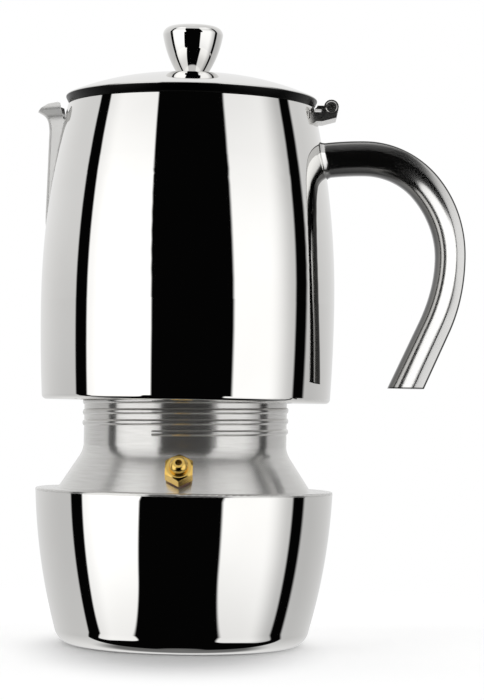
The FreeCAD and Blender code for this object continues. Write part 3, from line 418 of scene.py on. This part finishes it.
def new_profile(start):
    """An empty mesh and the vertex that its profile starts from."""
    bm = bmesh.new()
    return bm, bm.verts.new(start)


def line_to(bm, last, end):
    """Straight edge from the last vertex."""
    vert = bm.verts.new(end)
    bm.edges.new((last, vert))
    return vert


def curve_to(bm, last, centre, axis, degrees, steps):
    """Arc from the last vertex about a centre."""
    made = bmesh.ops.spin(
        bm,
        geom=[last],
        cent=centre,
        axis=axis,
        angle=math.radians(degrees),
        steps=steps,
        use_merge=False,
    )
    return next(g for g in made["geom_last"] if isinstance(g, bmesh.types.BMVert))


def bulge_to(bm, last, low, high, radius, axis, steps):
    """Arc between a low and a high point that bulges away from the pot's axis."""
    low, high = Vector(low), Vector(high)
    chord = high - low
    rise = math.sqrt(radius * radius - chord.length_squared / 4)
    centre = (low + high) / 2 + Vector((-chord.y, chord.x)).normalized() * rise
    swing = 2 * math.degrees(math.asin(chord.length / 2 / radius))
    return curve_to(bm, last, at(*centre), axis, swing, steps)


def dome_arc(seat_r, seat_z, edge_r, edge_z):
    """Radius and turn of an arc that leaves the seat level and ends at the edge."""
    run, fall = edge_r - seat_r, seat_z - edge_z
    radius = (run * run + fall * fall) / (2 * fall)
    return radius, math.degrees(math.asin(run / radius))


def round_corner(bm, vert, reach):
    """Bevel one corner of a profile, with the reach in millimetres."""
    bmesh.ops.bevel(
        bm,
        geom=[vert],
        offset=reach * MM,
        offset_type="OFFSET",
        segments=CORNER_STEPS,
        profile=0.5,
        affect="VERTICES",
        material=-1,
    )


def turn_profile(bm, steps):
    """Carry the profile once round the pot's axis."""
    bmesh.ops.spin(
        bm,
        geom=bm.verts[:] + bm.edges[:],
        cent=(0.0, 0.0, 0.0),
        axis=UP,
        angle=math.tau,
        steps=steps,
        use_merge=True,
    )


# The lid: domed sheet with an undercut edge and a locating lip, in millimetres.
LID_SEAT_Z, LID_TOP_Z = 182.6, 193.5
LID_EDGE = (43.15, 185.7)
LID_FOOT_R = 41.55
LIP_OUT, LIP_IN, LIP_END_Z = 39.9, 39.1, 180.0
KNOB_SEAT_R = 7.0
SCREW_HOLE_R = 2.1
SHEET = 0.8
LID_EDGE_ROUND, LID_FOOT_ROUND = 0.75, 0.3
DOME_STEPS, UNDERSIDE_STEPS, LID_STEPS = 40, 30, 240

bm, foot = new_profile(at(LID_FOOT_R, LID_SEAT_Z))
edge = line_to(bm, foot, at(*LID_EDGE))
radius, swing = dome_arc(KNOB_SEAT_R, LID_TOP_Z, *LID_EDGE)
centre = at(KNOB_SEAT_R, LID_TOP_Z - radius)
seat = curve_to(bm, edge, centre, ANTICLOCKWISE, swing, DOME_STEPS)
hole = line_to(bm, seat, at(SCREW_HOLE_R, LID_TOP_Z))
hole = line_to(bm, hole, at(SCREW_HOLE_R, LID_TOP_Z - SHEET))
under = line_to(bm, hole, at(KNOB_SEAT_R, LID_TOP_Z - SHEET))
swing = math.degrees(math.asin((LIP_IN - KNOB_SEAT_R) / (radius - SHEET)))
under = curve_to(bm, under, centre, CLOCKWISE, swing, UNDERSIDE_STEPS)
lip = line_to(bm, under, at(LIP_IN, LIP_END_Z))
lip = line_to(bm, lip, at(LIP_OUT, LIP_END_Z))
lip = line_to(bm, lip, at(LIP_OUT, LID_SEAT_Z))
bm.edges.new((lip, foot))
round_corner(bm, edge, LID_EDGE_ROUND)
round_corner(bm, foot, LID_FOOT_ROUND)
turn_profile(bm, LID_STEPS)
finished(bm, "lid_dome", "lid", lid_steel_with_painted_shade(), ["lid_shell"])

# The knob: a turning with a hollow for its screw, in millimetres.
KNOB_FOOT = (4.6, LID_TOP_Z)
KNOB_SIDE = (10.3, 207.7)
KNOB_CROWN = (8.2, 210.3)
KNOB_TOP_Z = 211.1
KNOB_BORE_R, KNOB_BORE_Z = 2.0, 203.8
KNOB_SIDE_BULGE, KNOB_SHOULDER_ROUND = 34.0, 2.9
KNOB_SIDE_STEPS, KNOB_SHOULDER_STEPS, KNOB_CROWN_STEPS, KNOB_STEPS = 28, 14, 12, 160

bm, bore = new_profile(at(0.0, KNOB_BORE_Z))
bore = line_to(bm, bore, at(KNOB_BORE_R, KNOB_BORE_Z))
bore = line_to(bm, bore, at(KNOB_BORE_R, LID_TOP_Z))
foot = line_to(bm, bore, at(*KNOB_FOOT))
side = bulge_to(
    bm, foot, KNOB_FOOT, KNOB_SIDE, KNOB_SIDE_BULGE, ANTICLOCKWISE, KNOB_SIDE_STEPS
)
crown = bulge_to(
    bm, side, KNOB_SIDE, KNOB_CROWN, KNOB_SHOULDER_ROUND, ANTICLOCKWISE, KNOB_SHOULDER_STEPS
)
radius, swing = dome_arc(0.0, KNOB_TOP_Z, *KNOB_CROWN)
curve_to(bm, crown, at(0.0, KNOB_TOP_Z - radius), ANTICLOCKWISE, swing, KNOB_CROWN_STEPS)
turn_profile(bm, KNOB_STEPS)
finished(bm, "knob_turning", "lid", finishes["polished_steel"], ["knob"])

# The boiler's bowl: drawn sheet with a flat base, in millimetres.
BASE_R = 37.5
BOWL_FOOT = (43.2, 5.0)
BOWL_RIM = (50.5, 51.4)
BOWL_WALL = 1.0
INNER_FOOT = (BOWL_FOOT[0] - BOWL_WALL, BOWL_FOOT[1])
INNER_RIM = (BOWL_RIM[0] - BOWL_WALL, BOWL_RIM[1])
BASE_CORNER, BOWL_BULGE = 6.0, 206.0
INNER_CORNER = BASE_CORNER - BOWL_WALL
CORNER_OUT_STEPS, CORNER_IN_STEPS = 20, 12
SIDE_OUT_STEPS, SIDE_IN_STEPS, BOWL_STEPS = 40, 20, 240

bm, base = new_profile(at(0.0, 0.0))
base = line_to(bm, base, at(BASE_R, 0.0))
side = bulge_to(
    bm, base, (BASE_R, 0.0), BOWL_FOOT, BASE_CORNER, ANTICLOCKWISE, CORNER_OUT_STEPS
)
rim = bulge_to(bm, side, BOWL_FOOT, BOWL_RIM, BOWL_BULGE, ANTICLOCKWISE, SIDE_OUT_STEPS)
rim = line_to(bm, rim, at(*INNER_RIM))
side = bulge_to(bm, rim, INNER_FOOT, INNER_RIM, BOWL_BULGE, CLOCKWISE, SIDE_IN_STEPS)
base = bulge_to(
    bm, side, (BASE_R, BOWL_WALL), INNER_FOOT, INNER_CORNER, CLOCKWISE, CORNER_IN_STEPS
)
line_to(bm, base, at(0.0, BOWL_WALL))
turn_profile(bm, BOWL_STEPS)
finished(bm, "bowl_pan", "boiler", finishes["polished_steel"], ["boiler_bowl"])

# The handle's section at its arm: rounded towards the fingers, a ridge on each flank, flat outside.
ARM = (59.5, 166.2)
GRIP_INNER = -5.6
FLAT_HALF = 1.0
SECTION_AXIS, SECTION_START = (-1.0, 0.0, 0.0), -90.0
SECTION_ARCS = (
    # radius, direction that it ends at, steps
    (7.2, -35.0, 14),
    (12.8, -14.0, 8),
    (0.25, 17.5, 6),
    (60.0, 20.1, 4),
    (1.0, 86.0, 10),
    (101.5, 90.0, 6),
)
MIRROR_MERGE = 0.2
# Line of the handle: radius of each bend, its angle, steps and the tube's depth at its end.
ARM_DEPTH = 1.04
BENDS = (
    (27.5, 50.0, 30, 1.0),
    (36.9, 40.0, 26, 0.935),
    (58.8, 24.0, 20, 1.0),
)
# Straight run below the bends: how far it passes the end, steps and growth of depth at each.
TAIL_PAST, TAIL_STEPS, TAIL_GROWTH = 8.0, 6, 1.008
END_Z, END_CAP = 88.0, 1.5
# Shallow bend from the arm back to the barrel.
CROWN_RADIUS, CROWN_ANGLE, CROWN_STEPS = 100.0, 7.4, 8
# Weld at the root: clear of the barrel in millimetres, and how far each ring widens.
WELD_RINGS = ((1.5, 0.0), (1.1, 0.015), (0.7, 0.02), (0.35, 0.03), (0.0, 0.03))
WELD_TRIES = 6
BELLY_Z, BELLY_R, BARREL_BULGE = 115.4, 50.0, 292.5


def barrel_radius(z):
    return BELLY_R - BARREL_BULGE + math.sqrt(BARREL_BULGE**2 - (z - BELLY_Z) ** 2)


def new_ring(bm, ring):
    """Extrude a closed ring of edges; returns the new ring and its vertices."""
    made = bmesh.ops.extrude_edge_only(bm, edges=ring)["geom"]
    edges = [g for g in made if isinstance(g, bmesh.types.BMEdge)]
    verts = [g for g in made if isinstance(g, bmesh.types.BMVert)]
    fresh = set(verts)
    return [e for e in edges if fresh.issuperset(e.verts)], verts


def bend_ring(bm, verts, centre, degrees):
    """Swing a ring about a bend's centre, given in millimetres."""
    matrix = Matrix.Rotation(math.radians(degrees), 3, "Y")
    bmesh.ops.rotate(bm, cent=at(*centre), matrix=matrix, verts=verts)


def deepen(bm, verts, middle, slope, factor):
    """Scale a ring across the tube, square to the handle's line."""
    place = Matrix.Translation(at(*middle)) @ Matrix.Rotation(math.radians(slope), 4, "Y")
    bmesh.ops.scale(bm, vec=(1.0, 1.0, factor), space=place.inverted(), verts=verts)


def draw_section(bm):
    """Half of the section, then its mirror, each vertex with its depth across the tube."""
    x, z = ARM
    last = bm.verts.new(at(x, z + GRIP_INNER))
    last = line_to(bm, last, at(x, z + GRIP_INNER, -FLAT_HALF))
    angle, across, out = SECTION_START, GRIP_INNER, FLAT_HALF
    for radius, end, steps in SECTION_ARCS:
        turn = math.radians(angle)
        across -= radius * math.sin(turn)
        out -= radius * math.cos(turn)
        centre = at(x, z + across, -out)
        last = curve_to(bm, last, centre, SECTION_AXIS, end - angle, steps)
        angle = end
        turn = math.radians(angle)
        across += radius * math.sin(turn)
        out += radius * math.cos(turn)
    bmesh.ops.mirror(
        bm, geom=bm.verts[:] + bm.edges[:], axis="Y", merge_dist=MIRROR_MERGE * MM
    )
    bmesh.ops.remove_doubles(bm, verts=bm.verts, dist=MERGE)
    depth_of = bm.verts.layers.float.new("depth")
    for vert in bm.verts:
        vert[depth_of] = vert.co.z / MM - z


def square_to(slope):
    """Direction outwards across the tube where the handle's line falls at a slope."""
    turn = math.radians(slope)
    return Vector((math.sin(turn), math.cos(turn)))


def eased(share):
    return share * share * (3 - 2 * share)


def sweep_bends(bm, ring):
    """Carry the section round the bends; returns it, its middle and its slope there."""
    depth, slope, middle = ARM_DEPTH, 0.0, Vector(ARM)
    for radius, angle, steps, end_depth in BENDS:
        centre = middle - radius * square_to(slope)
        held = depth
        for step in range(1, steps + 1):
            ring, verts = new_ring(bm, ring)
            bend_ring(bm, verts, centre, angle / steps)
            slope += angle / steps
            middle = centre + radius * square_to(slope)
            wanted = depth + (end_depth - depth) * eased(step / steps)
            deepen(bm, verts, middle, slope, wanted / held)
            held = wanted
        depth = end_depth
    return ring, middle, slope


def sweep_tail(bm, ring, middle, slope):
    """Run the tube straight on past the handle's end and close it."""
    turn = math.radians(slope)
    length = (middle.y - END_Z + TAIL_PAST) / math.sin(turn)
    stride = Vector((math.cos(turn), -math.sin(turn))) * length / TAIL_STEPS
    for _ in range(TAIL_STEPS):
        ring, verts = new_ring(bm, ring)
        bmesh.ops.translate(bm, vec=at(*stride), verts=verts)
        middle = middle + stride
        deepen(bm, verts, middle, slope, TAIL_GROWTH)
    bmesh.ops.contextual_create(bm, geom=ring)


def lay_root(bm, ring):
    """Carry the section back to the barrel, lay its weld on it and close it."""
    for _ in range(CROWN_STEPS):
        ring, verts = new_ring(bm, ring)
        bend_ring(bm, verts, (ARM[0], ARM[1] - CROWN_RADIUS), -CROWN_ANGLE / CROWN_STEPS)
    turn = math.radians(CROWN_ANGLE)
    back = Vector((-math.cos(turn), 0.0, -math.sin(turn)))
    for clear, flare in WELD_RINGS:
        ring, verts = new_ring(bm, ring)
        root = sum((vert.co for vert in verts), Vector()) / len(verts)
        for vert in verts:
            vert.co += (vert.co - root) * flare
            for _ in range(WELD_TRIES):
                short = math.hypot(vert.co.x, vert.co.y) - barrel_radius(vert.co.z / MM) * MM
                vert.co += back * (short - clear * MM)
    bmesh.ops.contextual_create(bm, geom=ring)


def handle_sweep():
    """The whole handle as one closed skin, from the barrel to below its end."""
    bm = bmesh.new()
    draw_section(bm)
    start = bm.edges[:]
    deepen(bm, bm.verts, ARM, 0.0, ARM_DEPTH)
    sweep_tail(bm, *sweep_bends(bm, start))
    lay_root(bm, start)
    return bm


def saw_level(bm, height, keep_above):
    """Saw the handle level at a height, keep one side and close the cut."""
    cut = bmesh.ops.bisect_plane(
        bm,
        geom=bm.verts[:] + bm.edges[:] + bm.faces[:],
        plane_co=UP * height * MM,
        plane_no=UP if keep_above else -UP,
        clear_inner=True,
    )["geom_cut"]
    rim = [g for g in cut if isinstance(g, bmesh.types.BMEdge)]
    bmesh.ops.contextual_create(bm, geom=rim)


handle_steel_and_shade = handle_steel_with_painted_shade()
bm = handle_sweep()
saw_level(bm, END_Z + END_CAP, True)
finished(bm, "handle_grip", "collector", handle_steel_and_shade, ["handle_tube"])
bm = handle_sweep()
saw_level(bm, END_Z + END_CAP, False)
saw_level(bm, END_Z, True)
finished(bm, "handle_end", "collector", handle_steel_and_shade, ["handle_end_cap"])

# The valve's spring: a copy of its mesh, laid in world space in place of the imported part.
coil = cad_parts["valve_spring"]
spring = bpy.data.objects.new("spring_coil", coil.data.copy())
scene.collection.objects.link(spring)
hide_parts("valve_spring")
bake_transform(spring)


# ---------------------------------------------------------------- camera
CAMERA_TURN = math.radians(2.5)  # towards the handle from straight on
CAMERA_DISTANCE = 0.811
CAMERA_HEIGHT = 0.079
AIM_RIGHT = 0.0188  # the pot stands left of the picture's middle
AIM_HEIGHT = 0.1002
CAMERA_ROLL = math.radians(1.09)  # the pot leans to the right in the picture
LENS, SENSOR = 122.2, 36.0
CLIP_NEAR, CLIP_FAR = 0.01, 100.0

towards = Vector((math.sin(CAMERA_TURN), -math.cos(CAMERA_TURN), 0.0))
rightwards = Vector((math.cos(CAMERA_TURN), math.sin(CAMERA_TURN), 0.0))
camera = bpy.data.objects.new("camera", bpy.data.cameras.new("camera"))
scene.collection.objects.link(camera)
camera.data.sensor_fit = "AUTO"
camera.data.sensor_width = SENSOR
camera.data.lens = LENS
camera.data.clip_start, camera.data.clip_end = CLIP_NEAR, CLIP_FAR
eye = towards * CAMERA_DISTANCE + UP * CAMERA_HEIGHT
aim = rightwards * AIM_RIGHT + UP * AIM_HEIGHT
facing = (aim - eye).to_track_quat("-Z", "Y").to_matrix().to_4x4()
camera.matrix_world = Matrix.Translation(eye) @ facing @ Matrix.Rotation(CAMERA_ROLL, 4, "Z")
scene.camera = camera


# ---------------------------------------------------------------- studio
# Directions out from the pot are in degrees: turn from the camera towards the picture's right,
# and rise above level. A pair gives where an edge begins and ends.
WHITE = (1.0, 1.0, 1.0, 1.0)
DEGREE = math.degrees(1.0)

# Unlit room around the camera.
ROOM_DARK = 0.0015
DARK_TURN = ((-98.0, -96.0), (104.0, 108.0))
DARK_RISE = ((-83.0, -77.0), (44.5, 48.0))

# Two tall soft boxes beside the camera. Their inner edges lean left above level, and step left
# a little below it.
BOX_LIGHT = 1.35
BOX_LEAN = 0.16
STEP_LEFT, STEP_RISE = 6.5, (-7.6, -5.6)
BOX_TOP = 60.0
BOX_FALL, BOX_FALL_RISE = 0.25, (8.0, 38.0)
LEFT_OUTER, LEFT_INNER, LEFT_FOOT, LEFT_CORNER, LEFT_BLUR = -84.5, -27.8, -34.0, 12.0, 1.0
LEFT_LEAN, LEFT_LEAN_BELOW = 0.18, -7.0
LEFT_FALL, LEFT_FALL_TURN = 0.15, (-84.0, -68.0)
RIGHT_INNER, RIGHT_OUTER, RIGHT_FOOT, RIGHT_CORNER, RIGHT_BLUR = 36.2, 92.5, -36.0, 15.0, 1.5
RIGHT_SHARE, RIGHT_FALL, RIGHT_FALL_TURN = 0.9, 0.42, (66.0, 92.0)

# Pale tent behind the pot and overhead, brighter at the back, dimmer low down and at the right.
TENT_LIGHT = 0.74
TENT_BACK, TENT_BACK_TURN = 0.14, (105.0, 165.0)
TENT_LOW, TENT_LOW_RISE = 0.14, ((-45.0, -12.0), (-8.0, 12.0))
TENT_RIGHT, TENT_RIGHT_TURN = 0.06, ((90.0, 120.0), (140.0, 179.0))
TENT_FOOT_SHARE, TENT_FOOT_RISE = 0.2, (-60.0, -42.0)


def by_camera(x, y):
    """A level place or direction as how far towards the camera and how far to its right."""
    return x * towards.x + y * towards.y, x * rightwards.x + y * rightwards.y


def soft_box(turn, rise, left, right, low, high, corner, blur):
    """1 inside a rounded rectangle of directions, eased over its edge."""
    across = abs(turn - (left + right) / 2) - ((right - left) / 2 - corner)
    along = abs(rise - (low + high) / 2) - ((high - low) / 2 - corner)
    reach = across.most(0.0).hypot(along.most(0.0)) - corner
    return 1.0 - reach.ramp(-blur, blur)


def show(shader, kind):
    """Send a finished shader to its tree's output."""
    feed(shader.tree.nodes.new(kind), "Surface", shader)


world = bpy.data.worlds.new("studio")
scene.world = world
world.use_nodes = True
tree = world.node_tree
tree.nodes.clear()
start = Value(tree)
x, y, z = start.node("ShaderNodeTexCoord", out=FROM_DIRECTION).split()
ahead, aside = by_camera(x, y)
turn = aside.math("ARCTAN2", aside, ahead) * DEGREE
rise = z.math("ARCSINE", z) * DEGREE

lean = -BOX_LEAN * rise.most(0.0) - STEP_LEFT * (1.0 - rise.ramp(*STEP_RISE))
left_edge = LEFT_INNER + lean + LEFT_LEAN * (rise - LEFT_LEAN_BELOW).least(0.0)
right_edge = RIGHT_INNER + lean
left_box = soft_box(
    turn, rise, LEFT_OUTER, left_edge, LEFT_FOOT, BOX_TOP, LEFT_CORNER, LEFT_BLUR
)
right_box = soft_box(
    turn, rise, right_edge, RIGHT_OUTER, RIGHT_FOOT, BOX_TOP, RIGHT_CORNER, RIGHT_BLUR
)
fall_off = 1.0 - BOX_FALL * abs(rise).ramp(*BOX_FALL_RISE)
left_box = left_box * fall_off * (1.0 - LEFT_FALL * (1.0 - turn.ramp(*LEFT_FALL_TURN)))
right_box = right_box * fall_off * (RIGHT_SHARE - RIGHT_FALL * turn.ramp(*RIGHT_FALL_TURN))
boxes = left_box.most(right_box)

tent = TENT_LIGHT + TENT_BACK * abs(turn).ramp(*TENT_BACK_TURN)
tent = tent - TENT_LOW * rise.band(*TENT_LOW_RISE) - TENT_RIGHT * turn.band(*TENT_RIGHT_TURN)
tent = tent * (TENT_FOOT_SHARE + (1.0 - TENT_FOOT_SHARE) * rise.ramp(*TENT_FOOT_RISE))
dark = turn.band(*DARK_TURN) * rise.band(*DARK_RISE)
room = tent * (1.0 - dark) + ROOM_DARK * dark
seen = room * (1.0 - boxes) + BOX_LIGHT * boxes

# The camera itself sees white.
is_camera = start.node("ShaderNodeLightPath", out=CAMERA_RAY)
strength = seen * (1.0 - is_camera) + is_camera
background = start.node("ShaderNodeBackground", None, {"Color": WHITE, "Strength": strength})
show(background, "ShaderNodeOutputWorld")

# The floor: pale paper round the pot that fades to the white of the background.
FLOOR_RADIUS, FLOOR_SEGMENTS = 0.6, 96
FLOOR_FADE = (0.10, 0.26)
PAPER_GRAIN = (240.0, 4.0)
PAPER_COLOURS = ((0.84, 0.84, 0.84), (0.88, 0.88, 0.88))
# Painted shadow: its glow to the camera stays off an oval that the pot shades, from its foot to the
# front.
FLOOR_GLOW = 0.42
SHADE_AHEAD, SHADE_ASIDE = 0.02, -0.004
SHADE_LONG, SHADE_WIDE = 0.105, 0.056
SHADE_EDGE = (0.32, 1.0)

bm = bmesh.new()
bmesh.ops.create_circle(bm, cap_ends=True, segments=FLOOR_SEGMENTS, radius=FLOOR_RADIUS)
mesh = bpy.data.meshes.new("studio_floor")
bm.to_mesh(mesh)
bm.free()
floor = bpy.data.objects.new("studio_floor", mesh)
scene.collection.objects.link(floor)
floor.visible_glossy = False
material = bpy.data.materials.new("floor_paper")
material.use_nodes = True
tree = material.node_tree
tree.nodes.clear()
start = Value(tree)
place = start.node("ShaderNodeTexCoord", out=FROM_OBJECT)
x, y, _ = place.split()
fade = x.hypot(y).ramp(*FLOOR_FADE)
paper = place.noise(*PAPER_GRAIN).tint(*PAPER_COLOURS)
is_camera = start.node("ShaderNodeLightPath", out=CAMERA_RAY)
ahead, aside = by_camera(x, y)
along = (ahead - SHADE_AHEAD) / SHADE_LONG
across = (aside - SHADE_ASIDE) / SHADE_WIDE
# Painted shadow: the glow is left off inside the oval in front of the foot.
shine = FLOOR_GLOW * is_camera * along.hypot(across).ramp(*SHADE_EDGE)
diffuse = start.node("ShaderNodeBsdfDiffuse", None, {"Color": paper})
glow = start.node("ShaderNodeEmission", None, {"Color": WHITE, "Strength": shine})
white = start.node("ShaderNodeEmission", None, {"Color": WHITE, "Strength": is_camera})
near = start.node("ShaderNodeAddShader", None, {0: diffuse, 1: glow})
mixed = start.node("ShaderNodeMixShader", None, {0: fade, 1: near, 2: white})
show(mixed, "ShaderNodeOutputMaterial")
floor.data.materials.append(material)
